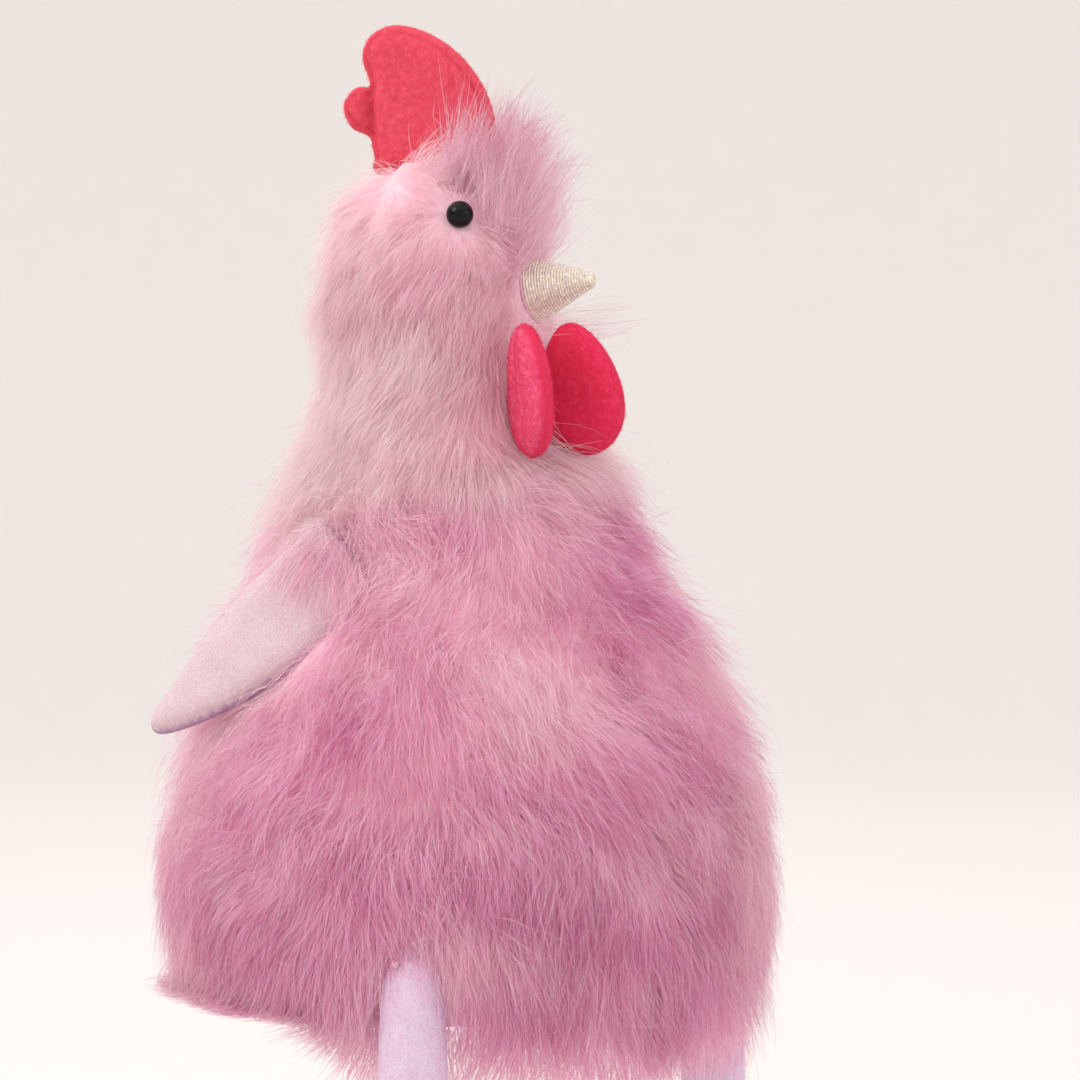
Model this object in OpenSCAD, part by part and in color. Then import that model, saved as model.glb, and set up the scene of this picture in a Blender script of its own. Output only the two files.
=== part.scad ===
// Fluffy shelf-sitting hen: a stuffed toy that sits on a shelf edge with its legs hanging in front.
// Millimetres, +Z up. The origin is the centre of the flat seat. The hen faces -Y and its left is +X.
// The trunk and head are turned about one axis that leans back from the seat.

/* [Trunk and head] */
// Backward lean of the trunk axis, in degrees
lean = 3.5; // [2.5:0.5:5]
// Thickness of the fur fabric, from its woven back to the top of the standing pile
pile = 14; // [12:0.5:15]
// Height of the neck along the trunk axis, where the head twists
neck_h = 196; // [194:1:198]
// Radius of the stitched seat panel
seat_r = 83; // [76:1:84]
// Turn of the head towards the hen's left, in degrees
head_turn = 17.5; // [0:0.5:20]

/* [Face] */
// Radius of the glass-look eye
eye_r = 5; // [4:0.25:5.5]
// Height of the eyes along the trunk axis
eye_h = 294; // [290:1:296]
// Angle of each eye from the front of the face, in degrees
eye_angle = 55; // [50:1:60]
// Radius of the beak at the face
beak_r = 11.8; // [10:0.2:12]
// Radius of the beak's rounded tip
beak_tip_r = 3.4; // [3:0.2:4.6]
// Length of the beak from the face to the start of its tip
beak_length = 22; // [18:1:24]
// Height of the beak's base along the trunk axis
beak_h = 266; // [263:1:268]
// Upward pitch of the beak, in degrees
beak_pitch = 7; // [0:1:9]

/* [Comb and wattles] */
// Thickness of the stuffed comb
comb_t = 12; // [10:0.5:13]
// Thickness of a stuffed wattle
wattle_t = 10; // [8:0.5:11]
// Height of a wattle
wattle_height = 49; // [44:1:50]
// Width of a wattle
wattle_width = 32; // [29:1:34]
// Outward splay of each wattle, in degrees
wattle_splay = 25; // [20:1:28]

/* [Wings] */
// Thickness of a stuffed wing
wing_t = 12; // [10:0.5:13]
// Size of the wing compared with its pattern
wing_size = 1; // [0.9:0.02:1.02]

/* [Legs and feet] */
// Distance of each leg from the middle of the hen
leg_x = 92; // [92:0.5:97]
// Distance of the legs in front of the middle
leg_y = 44; // [42:0.5:46]
// Height of the hip seam above the seat
hip_z = 25; // [24:0.5:28]
// Radius of a leg where it is full
leg_r = 12.5; // [11:0.5:12.5]
// Height of the ankle seam, below the seat
ankle_z = -150; // [-170:1:-130]
// Thickness of a stuffed foot
foot_t = 14; // [12:0.5:15]

/* [Hidden] */

$fn = 64;
gap = 0.6;          // free play between pieces of the fur, the head and what moves in them
cloth = 1.2;        // thickness of velvet and felt
backing = 2;        // thickness of the fur's woven back
thread_r = 0.5;     // sewing thread
thread_hole_r = 0.58;
knot_r = 1.3;       // knot at a thread's end
far = 400;          // larger than the hen
seat_cut = 9;       // height along the trunk axis at which the flat seat cuts the trunk

fur_colour = [0.86, 0.58, 0.64];
stuffing_colour = [0.95, 0.94, 0.92];
velvet_colour = [0.91, 0.24, 0.37];
felt_colour = [0.86, 0.76, 0.82];
thread_colour = [0.72, 0.62, 0.70];
beak_colour = [0.80, 0.78, 0.70];
black = [0.03, 0.03, 0.04];

// Girth of the stuffed trunk and head: [height along the axis, radius of the fur's woven back].
trunk_girth = [[-16, 81], [0, 85], [13, 90], [28, 93.5], [46, 95.5], [64, 95.5], [82, 92.5], [100, 87.5],
               [118, 81.5], [136, 74], [154, 65], [172, 56.5], [185, 50.5], [neck_h, 46]];
head_girth = [[neck_h, 46], [208, 42.5], [222, 39], [238, 36], [254, 34.5], [270, 33.5], [284, 31],
              [295, 26.5], [303, 20.5], [309, 13], [312.5, 4], [313, 0]];

// Smooth curve through points, with steps pieces between each pair (Catmull-Rom).
function blend4(a, b, c, d, t) =
    0.5 * (2 * b + (c - a) * t + (2 * a - 5 * b + 4 * c - d) * t * t + (3 * b - a - 3 * c + d) * t * t * t);
function smooth_open(p, steps) = concat(
    [for (i = [0 : len(p) - 2], k = [0 : steps - 1])
        blend4(p[max(i - 1, 0)], p[i], p[i + 1], p[min(i + 2, len(p) - 1)], k / steps)],
    [p[len(p) - 1]]);
function smooth_closed(p, steps) =
    [for (i = [0 : len(p) - 1], k = [0 : steps - 1])
        blend4(p[(i + len(p) - 1) % len(p)], p[i], p[(i + 1) % len(p)], p[(i + 2) % len(p)], k / steps)];

// Solid of revolution under a girth line, grown outwards by grow.
function grown(g, grow) =
    [for (i = [0 : len(g) - 1])
        let (a = g[max(i - 1, 0)], b = g[min(i + 1, len(g) - 1)],
             along = (b - a) / norm(b - a),
             out = i == 0 || (i == len(g) - 1 && g[i][1] > 0) ? [0, 1] : [-along[1], along[0]])
        [max(g[i][1] + grow * out[1], 0), g[i][0] + grow * out[0]]];
module turned(girth, grow = 0) {
    line = grown(smooth_open(girth, 2), grow);
    last = line[len(line) - 1];
    rotate_extrude()
        polygon(concat([[0, line[0][1]]],
                       [for (q = line) if (q[0] > 0.05) q],
                       [[0, last[1]]]));
}

module trunk_frame() translate([0, 0, -seat_cut]) rotate([-lean, 0, 0]) children();
// The head's own frame: along the trunk axis, with -Y towards the beak.
module head_frame() trunk_frame() rotate([0, 0, head_turn]) children();
// The wattles hang under the beak, turned back to face along the trunk.
module throat_frame() trunk_frame() rotate([0, 0, -8]) children();
module side_half(side) translate([side > 0 ? 0 : -far, -far, -far]) cube([far, 2 * far, 2 * far]);
module cyl_x(r, length) rotate([0, 90, 0]) cylinder(r = r, h = length, center = true);
module cyl_y(r, length) rotate([90, 0, 0]) cylinder(r = r, h = length, center = true);

// ---- A stuffed pad: two cloth half shells round a filling. The pattern lies in XY, the pad's middle is z = 0.
module pad_half(outline, thickness, side) {
    difference() {
        translate([0, 0, side > 0 ? 0 : -thickness / 2]) linear_extrude(thickness / 2) polygon(outline);
        pad_filling(outline, thickness, 0.1);
    }
}
function middle(p) = [for (k = [0, 1]) (max([for (q = p) q[k]]) + min([for (q = p) q[k]])) / 2];
function shrunk(p, by) =
    let (c = middle(p), size = [for (k = [0, 1]) max([for (q = p) q[k]]) - min([for (q = p) q[k]])],
         s = 1 - 2 * by / min(size[0], size[1]))
    [for (q = p) c + s * (q - c)];
module pad_filling(outline, thickness, spare = 0) {
    height = thickness - 2 * cloth + 2 * spare;
    translate([0, 0, -height / 2]) linear_extrude(height) polygon(shrunk(outline, 2 * cloth - spare));
}

// ---- Trunk -------------------------------------------------------------------------------------
pellet_r = 68;
pellet_top = 38;
pellet_floor = 4;
neck_core_r = 22;   // the filling carries on through the neck as a round core, on which the head twists
neck_core_h = 15;

module above_seat(z) translate([-far, -far, z]) cube([2 * far, 2 * far, 2 * far]);

// Room that a leg and its swing need in the pile, below and in front of the hip.
module leg_room(side) {
    back = leg_r + 4;
    translate([side * (leg_x + 6.5), -leg_y, hip_z]) rotate([90, 0, 90])
        linear_extrude(40, center = true) polygon(concat(
            [[-80, -60], [back, -60]],
            [for (a = [0 : 15 : 90]) back * [cos(a), sin(a)]],
            [[-80, back]]));
}

module body_fur(side) {
    color(fur_colour) difference() {
        intersection() {
            trunk_frame() difference() {
                turned(trunk_girth, pile);
                turned(trunk_girth);
                translate([0, 0, neck_h - gap / 2]) cylinder(r = far, h = far);
            }
            above_seat(0);
            side_half(side);
        }
        leg_room(side);
        wing_room(side);
    }
}

module seat_panel() color(felt_colour) cylinder(r = seat_r, h = backing);

module pellet_shape(grow) {
    edge = 12;
    rotate_extrude() translate([0, pellet_floor - grow]) polygon(concat(
        [[0, 0]],
        [for (a = [-90 : 15 : 0]) [pellet_r - edge + (edge + grow) * cos(a), edge + (edge + grow) * (1 + sin(a)) - edge]],
        [for (a = [0 : 15 : 90]) [pellet_r - edge + (edge + grow) * cos(a),
                                  pellet_top - pellet_floor - edge + grow + (edge + grow) * sin(a)]],
        [[0, pellet_top - pellet_floor + 2 * grow]]));
}
module pellet_bag() color(felt_colour) difference() {
    pellet_shape(1);
    pellet_shape(0);
}
module pellets() color(beak_colour) pellet_shape(-0.1);

module body_stuffing() {
    color(stuffing_colour) difference() {
        intersection() {
            trunk_frame() difference() {
                turned(trunk_girth, -0.2);
                translate([0, 0, neck_h - gap / 2]) cylinder(r = far, h = far);
                translate([0, 0, neck_h - neck_core_h - gap]) cylinder(r = neck_core_r + 0.08, h = far);
            }
            above_seat(backing + 0.2);
        }
        pellet_shape(1.1);
        for (side = [-1, 1]) wing_room(side);
        for (side = [-1, 1]) translate([side * leg_x, -leg_y, hip_z]) cyl_x(thread_hole_r, 60);
    }
}

// ---- Head --------------------------------------------------------------------------------------
comb_axis_h = 317;
comb_axis_f = -3;   // middle of the comb's seam, forward of the axis
comb_seam = 44;     // length of the comb's seam
comb_swing = 25;    // degrees each way
eye_sink = 4;       // centre of the eye above the woven back
eye_base_r = 30.6;  // radius of the woven back at the eyes
face_r = 34;        // radius of the woven back at the beak
washer_t = 1.6;

module at_eye(side) translate([0, 0, eye_h]) rotate([0, 0, side * eye_angle]) translate([0, -eye_base_r, 0])
    rotate([90, 0, 0]) children();
module at_beak() translate([0, -face_r - backing, beak_h]) rotate([90 - beak_pitch, 0, 0]) children();

// A wedge over the comb's seam, rounded below, that the comb swings in.
module comb_room() {
    reach = comb_t / 2 + 1.6;
    top = 60;
    translate([0, -comb_axis_f, comb_axis_h]) rotate([90, 0, 0])
        linear_extrude(comb_seam + 14, center = true) polygon(concat(
            [for (a = [180 - comb_swing : (2 * comb_swing + 180) / 12 : 360 + comb_swing + 1])
                (reach + 1) * [cos(a), sin(a)]],
            [[reach + 1 + top * tan(comb_swing), top], [-reach - 1 - top * tan(comb_swing), top]]));
}

module head_fur(side) {
    color(fur_colour) head_frame() difference() {
        intersection() {
            difference() {
                turned(head_girth, pile);
                turned(head_girth);
                translate([0, 0, neck_h + gap / 2 - far]) cylinder(r = far, h = far);
            }
            side_half(side);
        }
        for (s = [-1, 1]) at_eye(s) {
            cylinder(r = 1.8, h = 60, center = true);
            translate([0, 0, backing - 1]) cylinder(r = eye_r + 1.5, h = 40);
            translate([0, 0, eye_sink]) sphere(r = eye_r + 0.1);
            translate([0, 0, -washer_t - 1.1]) cylinder(r = 6.6, h = washer_t + 0.2);
        }
        at_beak() cylinder(r = beak_r + 2, h = 60);
        comb_room();
        rotate([0, 0, -head_turn - 8]) for (s = [-1, 1]) wattle_room(s);
    }
}

module head_stuffing() {
    color(stuffing_colour) head_frame() difference() {
        union() {
            difference() {
                turned(head_girth, -0.2);
                translate([0, 0, neck_h + gap / 2 - far]) cylinder(r = far, h = far);
            }
            translate([0, 0, neck_h - neck_core_h]) cylinder(r = neck_core_r, h = neck_core_h + 2);
        }
        for (s = [-1, 1]) at_eye(s) {
            cylinder(r = 1.8, h = 30, center = true);
            translate([0, 0, -washer_t - 1.6]) cylinder(r = 7.2, h = 40);
        }
        comb_room();
        rotate([0, 0, -head_turn - 8]) for (s = [-1, 1]) wattle_room(s);
    }
}

module eye(side) color(black) head_frame() at_eye(side) {
    translate([0, 0, eye_sink]) sphere(r = eye_r);
    translate([0, 0, -6]) cylinder(r = 1.5, h = 6 + eye_sink);
}
module eye_washer(side) color(beak_colour) head_frame() at_eye(side)
    translate([0, 0, -washer_t - 1]) difference() {
        cylinder(r = 6.5, h = washer_t);
        translate([0, 0, -1]) cylinder(r = 1.56, h = washer_t + 2);
    }

module beak_solid(inset) rotate_extrude() polygon(concat(
    [[0, 0], [beak_r - inset, 0]],
    [for (a = [20 : 14 : 90]) [(beak_tip_r - inset) * cos(a), beak_length + (beak_tip_r - inset) * (sin(a) - 0.34)]]));
module beak_cover() color(beak_colour) head_frame() at_beak() difference() {
    beak_solid(0);
    translate([0, 0, -0.01]) beak_solid(1);
}
module beak_stuffing() color(stuffing_colour) head_frame() at_beak() beak_solid(1.1);
module beak_stitching() color(thread_colour) head_frame() at_beak()
    rotate_extrude() translate([beak_r + thread_r + 0.1, thread_r + 0.1]) circle(r = thread_r, $fn = 16);

// ---- Comb: pattern as [forward, up] from its seam --------------------------------------------------
comb_pattern = [[18, -4.5], [23, 1], [25, 12], [21, 26], [12, 38.5], [0, 47], [-13, 51], [-22.5, 48],
                [-26.5, 40], [-24, 29.5], [-29, 28.5], [-33.5, 22], [-31, 14], [-25, 10], [-23.5, 3], [-20.5, -4.5]];
module comb_place() head_frame() translate([0, 0, comb_axis_h]) rotate([90, 0, -90]) children();
comb_outline = smooth_closed(comb_pattern, 3);
module comb_hole() translate([-comb_axis_f, 0, 0]) rotate([0, 90, 0]) cylinder(r = thread_hole_r, h = 90, center = true);

module comb_panel(side) color(velvet_colour) comb_place() difference() {
    pad_half(comb_outline, comb_t, side);
    comb_hole();
}
module comb_stuffing() color(stuffing_colour) comb_place() difference() {
    pad_filling(comb_outline, comb_t);
    comb_hole();
}
module comb_thread() color(thread_colour) comb_place() {
    translate([-0.25, 0, 0]) rotate([0, 90, 0]) cylinder(r = thread_r, h = 49.5, center = true);
    for (x = [-25, 24.5]) translate([x, 0, 0]) {
        sphere(r = knot_r, $fn = 24);
        rotate([90, 0, 0]) cylinder(r = thread_r, h = 8.4);
    }
}

// ---- Wattles: egg-shaped pads hung from a thread at their top ----------------------------------------
wattle_top_h = 248;
wattle_f = 42.5;     // thread's distance in front of the axis
wattle_apart = 6;  // half the distance between the two threads' middles
wattle_tilt = 8;    // degrees that the neck holds each wattle forward of straight down
wattle_outline = [for (a = [0 : 15 : 345])
    [wattle_width / 2 * sin(a) * (1 - 0.22 * cos(a)) + wattle_width * 0.42,
     wattle_height / 2 * cos(a) - wattle_height / 2 + 3]];

// X runs forward along the lobe from the throat and Y runs up. The pad's faces look sideways.
module wattle_place(side) throat_frame() translate([side * wattle_apart, -wattle_f, wattle_top_h])
    rotate([0, 0, side * wattle_splay]) rotate([90, 0, -90]) rotate([0, 0, wattle_tilt]) children();
wattle_thread_x = 13.5;
module wattle_hole() translate([wattle_thread_x, -1.5, 0]) cylinder(r = thread_hole_r, h = 60, center = true);
module wattle_room(side) {
    grow = 1;
    translate([side * wattle_apart, -wattle_f, wattle_top_h]) rotate([-wattle_tilt, 0, side * wattle_splay]) {
        translate([-wattle_t / 2 - grow, -60, -wattle_height]) cube([wattle_t + 2 * grow, 66, wattle_height + 6]);
        translate([0, -wattle_thread_x, 0]) cyl_x(22, wattle_t + 2 * grow);
        translate([-wattle_t / 2 - 4, -wattle_thread_x - 1.7, -3.2]) cube([wattle_t + 8, 12.7, 3.4]);
    }
}
module wattle_half(side, face) color(velvet_colour) wattle_place(side) difference() {
    pad_half(wattle_outline, wattle_t, face);
    wattle_hole();
}
module wattle_stuffing(side) color(stuffing_colour) wattle_place(side) difference() {
    pad_filling(wattle_outline, wattle_t);
    wattle_hole();
}
module wattle_thread(side) color(thread_colour) wattle_place(side) translate([wattle_thread_x, -1.5, 0]) {
    cylinder(r = thread_r, h = wattle_t + 4, center = true);
    for (z = [-1, 1]) translate([0, 0, z * (wattle_t / 2 + 2)]) {
        sphere(r = knot_r, $fn = 24);
        translate([-10.8, 0, 0]) rotate([0, 90, 0]) cylinder(r = thread_r, h = 10.8);
    }
}

// ---- Wings: pattern as [from the seam to the tip, along the seam towards the front] -------------------
wing_pattern = [[0, -15], [14, -17.5], [38, -16.5], [62, -12], [82, -7], [94, -3.5], [96, 2.5],
                [88, 8], [72, 14], [50, 19], [26, 20.5], [8, 19], [0, 15]];
wing_outline = [for (q = smooth_closed(wing_pattern, 2)) q * wing_size];
wing_root = [-64.5, 7, 164];
wing_yaw = 122;
wing_pitch = 41;
wing_roll = -68;
wing_seam = 30;
wing_bead_r = 4;
wing_in = 8;        // degrees that the wing presses into the fur

// The right wing's frame. The left wing is its mirror image.
module wing_frame() translate(wing_root) rotate([0, 0, wing_yaw]) rotate([0, wing_pitch, 0])
    rotate([wing_roll, 0, 0]) children();
module on_side(side) mirror([side > 0 ? 1 : 0, 0, 0]) children();
module wing_room(side) on_side(side) wing_frame() translate([0, -1, 0]) rotate([90, 0, 0])
    linear_extrude(48, center = true) polygon([
        [-8.6, -wing_t / 2 - 1.4], [0, -wing_t / 2 - 1.5], [112, -wing_t / 2 - 1.5 - 112 * tan(wing_in)],
        [112, 70], [-8.6, 70]]);

module wing_half(side, face) color(felt_colour) on_side(side) wing_frame() difference() {
    union() {
        pad_half(wing_outline, wing_t, face);
        intersection() {
            cyl_y(wing_bead_r, wing_seam);
            translate([-10, -far, face > 0 ? 0 : -far]) cube([10.01, 2 * far, far]);
        }
    }
    cyl_y(thread_hole_r, 80);
}
module wing_stuffing(side) color(stuffing_colour) on_side(side) wing_frame() difference() {
    pad_filling(wing_outline, wing_t);
    cyl_y(thread_hole_r, 80);
}
module wing_thread(side) color(thread_colour) on_side(side) wing_frame() {
    translate([0, -1, 0]) cyl_y(thread_r, 47.8);
    for (y = [-1, 1]) translate([0, y * (wing_seam / 2 + 3.2), 0]) sphere(r = knot_r, $fn = 24);
}

// ---- Legs: a felt tube closed at both ends, full in its middle ------------------------------------------
leg_line = [[0, 8], [3.5, 7.2], [6.5, 4.8], [7.6, 0], [8.6, -8], [11.2, -22], [leg_r, -38]];
leg_end = ankle_z - hip_z + 8;
function leg_profile(inset) = concat(
    [[0, leg_end + inset]],
    [for (a = [-90 : 22.5 : 0])
        [leg_r - 5 + (5 - inset) * cos(a), leg_end + 5 + (5 - inset) * sin(a)]],
    [for (i = [len(leg_line) - 1 : -1 : 1]) [leg_line[i][0] - inset, leg_line[i][1] - inset / 2]],
    [[0, leg_line[0][1] - inset]]);
module leg_place(side) translate([side * leg_x, -leg_y, hip_z]) children();
module leg_solid(inset) difference() {
    rotate_extrude() polygon(leg_profile(inset));
    cyl_x(thread_hole_r, 60);
}
module leg_cover(side) color(felt_colour) leg_place(side) difference() {
    leg_solid(0);
    rotate_extrude() polygon(leg_profile(cloth));
}
module leg_stuffing(side) color(stuffing_colour) leg_place(side) leg_solid(cloth + 0.1);
module hip_thread(side) color(thread_colour) leg_place(side) {
    translate([-side * 4, 0, 0]) cyl_x(thread_r, 27);
    translate([side * 9.8, 0, 0]) sphere(r = knot_r, $fn = 24);
}

// ---- Feet: pattern as [sideways, forward] from the ankle, with three toes -------------------------------
foot_pattern = [[0, -13], [-8, -11], [-11, -3], [-13, 10], [-21, 24], [-24, 36], [-18, 39], [-11.5, 30],
                [-6, 34], [-6, 48], [0, 54], [6, 48], [6, 34], [11.5, 30], [18, 39], [24, 36], [21, 24],
                [13, 10], [11, -3], [8, -11]];
foot_outline = [for (q = smooth_closed(foot_pattern, 2)) [q[0], -q[1]]];
ankle_bead_r = 5;
foot_drop = 3.5;    // top of the foot below the ankle's seam
module foot_place(side) translate([side * leg_x, -leg_y, ankle_z]) children();
module foot_pad() translate([0, 0, -foot_drop - foot_t / 2]) children();
module foot_upper(side) color(felt_colour) foot_place(side) difference() {
    union() {
        foot_pad() pad_half(foot_outline, foot_t, 1);
        intersection() {
            union() {
                cyl_x(ankle_bead_r, 15);
                translate([-7.5, -ankle_bead_r, -foot_drop - 0.5]) cube([15, 2 * ankle_bead_r, foot_drop + 0.5]);
            }
            translate([-far, -far, -foot_drop - 0.5]) cube(2 * far);
        }
    }
    cyl_x(thread_hole_r, 60);
}
module foot_sole(side) color(felt_colour) foot_place(side) foot_pad() pad_half(foot_outline, foot_t, -1);
module foot_stuffing(side) color(stuffing_colour) foot_place(side) foot_pad() pad_filling(foot_outline, foot_t);
module ankle_thread(side) color(thread_colour) foot_place(side) {
    cyl_x(thread_r, 19);
    for (x = [-1, 1]) translate([x * 9.5, 0, 0]) {
        sphere(r = knot_r, $fn = 24);
        cylinder(r = thread_r, h = 8.2);
    }
}

body_fur(1);  // body_fur_left
body_fur(-1);  // body_fur_right
seat_panel();
body_stuffing();
pellet_bag();
pellets();
head_fur(1);  // head_fur_left
head_fur(-1);  // head_fur_right
head_stuffing();
eye(1);  // eye_left
eye(-1);  // eye_right
eye_washer(1);  // eye_washer_left
eye_washer(-1);  // eye_washer_right
beak_cover();
beak_stuffing();
beak_stitching();
comb_panel(-1);  // comb_panel_left
comb_panel(1);  // comb_panel_right
comb_stuffing();
comb_thread();
wattle_half(1, -1);  // wattle_left_outer
wattle_half(1, 1);  // wattle_left_inner
wattle_stuffing(1);  // wattle_left_stuffing
wattle_thread(1);  // wattle_left_thread
wattle_half(-1, 1);  // wattle_right_outer
wattle_half(-1, -1);  // wattle_right_inner
wattle_stuffing(-1);  // wattle_right_stuffing
wattle_thread(-1);  // wattle_right_thread
wing_half(1, 1);  // wing_left_outer
wing_half(1, -1);  // wing_left_inner
wing_stuffing(1);  // wing_left_stuffing
wing_thread(1);  // wing_left_thread
wing_half(-1, 1);  // wing_right_outer
wing_half(-1, -1);  // wing_right_inner
wing_stuffing(-1);  // wing_right_stuffing
wing_thread(-1);  // wing_right_thread
leg_cover(1);  // leg_left_cover
leg_stuffing(1);  // leg_left_stuffing
hip_thread(1);  // hip_thread_left
leg_cover(-1);  // leg_right_cover
leg_stuffing(-1);  // leg_right_stuffing
hip_thread(-1);  // hip_thread_right
foot_upper(1);  // foot_left_upper
foot_sole(1);  // foot_left_sole
foot_stuffing(1);  // foot_left_stuffing
ankle_thread(1);  // ankle_thread_left
foot_upper(-1);  // foot_right_upper
foot_sole(-1);  // foot_right_sole
foot_stuffing(-1);  // foot_right_stuffing
ankle_thread(-1);  // ankle_thread_right
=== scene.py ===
"""Looks of a long-pile plush hen that sits on a shelf edge.

Lengths are in millimetres, and heights are above the trunk's own base, until a mesh is made.
"""

import math

import bpy
import numpy as np
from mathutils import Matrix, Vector, kdtree
from mathutils.geometry import delaunay_2d_cdt


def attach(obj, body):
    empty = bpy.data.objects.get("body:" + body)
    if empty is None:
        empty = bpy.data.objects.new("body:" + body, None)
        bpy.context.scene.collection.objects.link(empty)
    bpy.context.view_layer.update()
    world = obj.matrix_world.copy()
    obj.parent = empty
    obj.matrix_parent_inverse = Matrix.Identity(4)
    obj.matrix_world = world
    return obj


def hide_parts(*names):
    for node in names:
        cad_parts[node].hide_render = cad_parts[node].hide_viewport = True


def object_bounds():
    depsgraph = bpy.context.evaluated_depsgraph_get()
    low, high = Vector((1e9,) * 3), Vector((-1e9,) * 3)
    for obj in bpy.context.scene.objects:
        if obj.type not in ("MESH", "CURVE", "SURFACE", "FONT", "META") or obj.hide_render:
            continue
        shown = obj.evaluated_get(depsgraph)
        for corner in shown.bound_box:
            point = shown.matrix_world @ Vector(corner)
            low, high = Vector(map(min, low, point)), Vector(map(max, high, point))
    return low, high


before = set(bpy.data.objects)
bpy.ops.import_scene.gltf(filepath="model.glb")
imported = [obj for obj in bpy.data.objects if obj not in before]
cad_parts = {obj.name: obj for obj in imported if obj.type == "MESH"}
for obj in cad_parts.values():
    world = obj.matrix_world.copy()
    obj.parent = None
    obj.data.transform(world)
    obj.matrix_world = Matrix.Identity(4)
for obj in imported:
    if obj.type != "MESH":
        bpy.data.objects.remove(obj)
cad_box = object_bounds()
MM = 0.001

# ---------------------------------------------------------------- the hen's own frames and girth
LEAN = -3.5
HEAD_TURN = 17.5
NECK_H = 196.0
CROWN_H = 313.0
GIRTH = np.array([
    (-16, 81), (0, 85), (13, 90), (28, 93.5), (46, 95.5), (64, 95.5), (82, 92.5), (100, 87.5), (118, 81.5),
    (136, 74),
    (154, 65), (172, 56.5), (185, 50.5), (196, 46), (208, 42.5), (222, 39), (238, 36), (254, 34.5),
    (270, 33.5),
    (284, 31), (295, 26.5), (303, 20.5), (309, 13), (312.5, 4), (313, 0)], float)
EYE_H, EYE_OUT, EYE_ANGLE, EYE_R = 294.0, 34.6, math.radians(55), 5.0
BEAK_PITCH = 7
BEAK_BASE = np.array([0, -36, 266.0])
COMB_SEAM = np.array([0, 0, 317.0])
SEAT = 9.0


def turn_x(a):
    c, s = math.cos(math.radians(a)), math.sin(math.radians(a))
    return np.array([[1, 0, 0], [0, c, -s], [0, s, c]])


def turn_y(a):
    c, s = math.cos(math.radians(a)), math.sin(math.radians(a))
    return np.array([[c, 0, s], [0, 1, 0], [-s, 0, c]])


def turn_z(a):
    c, s = math.cos(math.radians(a)), math.sin(math.radians(a))
    return np.array([[c, -s, 0], [s, c, 0], [0, 0, 1]])


TRUNK = turn_x(LEAN)
HEAD = TRUNK @ turn_z(HEAD_TURN)
THROAT = TRUNK @ turn_z(-8)
WING_ROOT = np.array([-64.5, 7, 173.0])
WING = turn_z(122) @ turn_y(41) @ turn_x(-68)
MIRROR = np.diag([-1.0, 1, 1])
LEG_X, LEG_Y, HIP_Z, ANKLE_Z = 92.0, -44.0, 34.0, -141.0


def unit(v):
    return v / np.maximum(np.linalg.norm(v, axis=-1, keepdims=True), 1e-9)


def circle(count):
    """Angles evenly round a full turn."""
    return np.linspace(0, 2 * math.pi, count, endpoint=False)


def smooth_closed(points, steps):
    """Catmull-Rom curve through a closed outline."""
    p = np.asarray(points, float)
    t = (np.arange(steps) / steps)[None, :, None]
    a, b, c, d = (np.roll(p, k, axis=0)[:, None, :] for k in (1, 0, -1, -2))
    q = 0.5 * (2 * b + (c - a) * t + (2 * a - 5 * b + 4 * c - d) * t**2 + (3 * b - a - 3 * c + d) * t**3)
    return q.reshape(-1, p.shape[1])


def waves(seed, size, count=5):
    """Smooth noise of about -1 to 1 whose lumps are about size millimetres across."""
    r = np.random.default_rng(seed)
    k = unit(r.normal(size=(count, 3))) * (2 * math.pi / (size * r.uniform(1.4, 2.6, (count, 1))))
    phase = r.uniform(0, 2 * math.pi, count)

    def field(p):
        return np.sin(p @ k.T + phase).sum(-1) / math.sqrt(count)

    return field


def vector_waves(seed, size):
    parts = [waves(seed + i, size) for i in range(3)]
    return lambda p: np.stack([w(p) for w in parts], -1)


CAMERA_FROM = (-53, 3)
CAMERA_AIM = (0.605 * 24, -0.797 * 24, 166.5)
CAMERA_DISTANCE = 1.519
CAMERA_FOV = 15


# ---------------------------------------------------------------- meshes
def link(obj):
    bpy.context.scene.collection.objects.link(obj)
    return obj


def make_mesh(name, verts, faces, material):
    mesh = bpy.data.meshes.new(name)
    verts = np.asarray(verts, float) - np.array([0, 0, SEAT])
    mesh.from_pydata((verts * MM).tolist(), [], [tuple(int(i) for i in f) for f in faces])
    mesh.materials.append(material)
    mesh.shade_smooth()
    mesh.update()
    return link(bpy.data.objects.new(name, mesh))


def add_value(obj, name, values):
    a = obj.data.attributes.new(name, "FLOAT", "POINT")
    a.data.foreach_set("value", np.asarray(values, np.float32))


def ring_faces(rings, around):
    """Quads between closed rings of vertices."""
    faces = []
    for i in range(rings - 1):
        for j in range(around):
            k = (j + 1) % around
            faces.append((i * around + j, i * around + k, (i + 1) * around + k, (i + 1) * around + j))
    return faces


# ---------------------------------------------------------------- materials
def node_material(name):
    mat = bpy.data.materials.new(name)
    mat.use_nodes = True
    nodes, links = mat.node_tree.nodes, mat.node_tree.links
    return mat, nodes, links, nodes["Principled BSDF"]


def srgb(r, g, b):
    def lin(c):
        c /= 255
        return c / 12.92 if c <= 0.04045 else ((c + 0.055) / 1.055) ** 2.4

    return (lin(r), lin(g), lin(b), 1.0)


def ramp(nodes, stops, source=None, links=None):
    n = nodes.new("ShaderNodeValToRGB")
    e = n.color_ramp.elements
    while len(e) < len(stops):
        e.new(0.5)
    for el, (pos, colour) in zip(e, stops):
        el.position = pos
        el.color = colour
    if source is not None:
        links.new(source, n.inputs["Fac"])
    return n.outputs["Color"]


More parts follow.
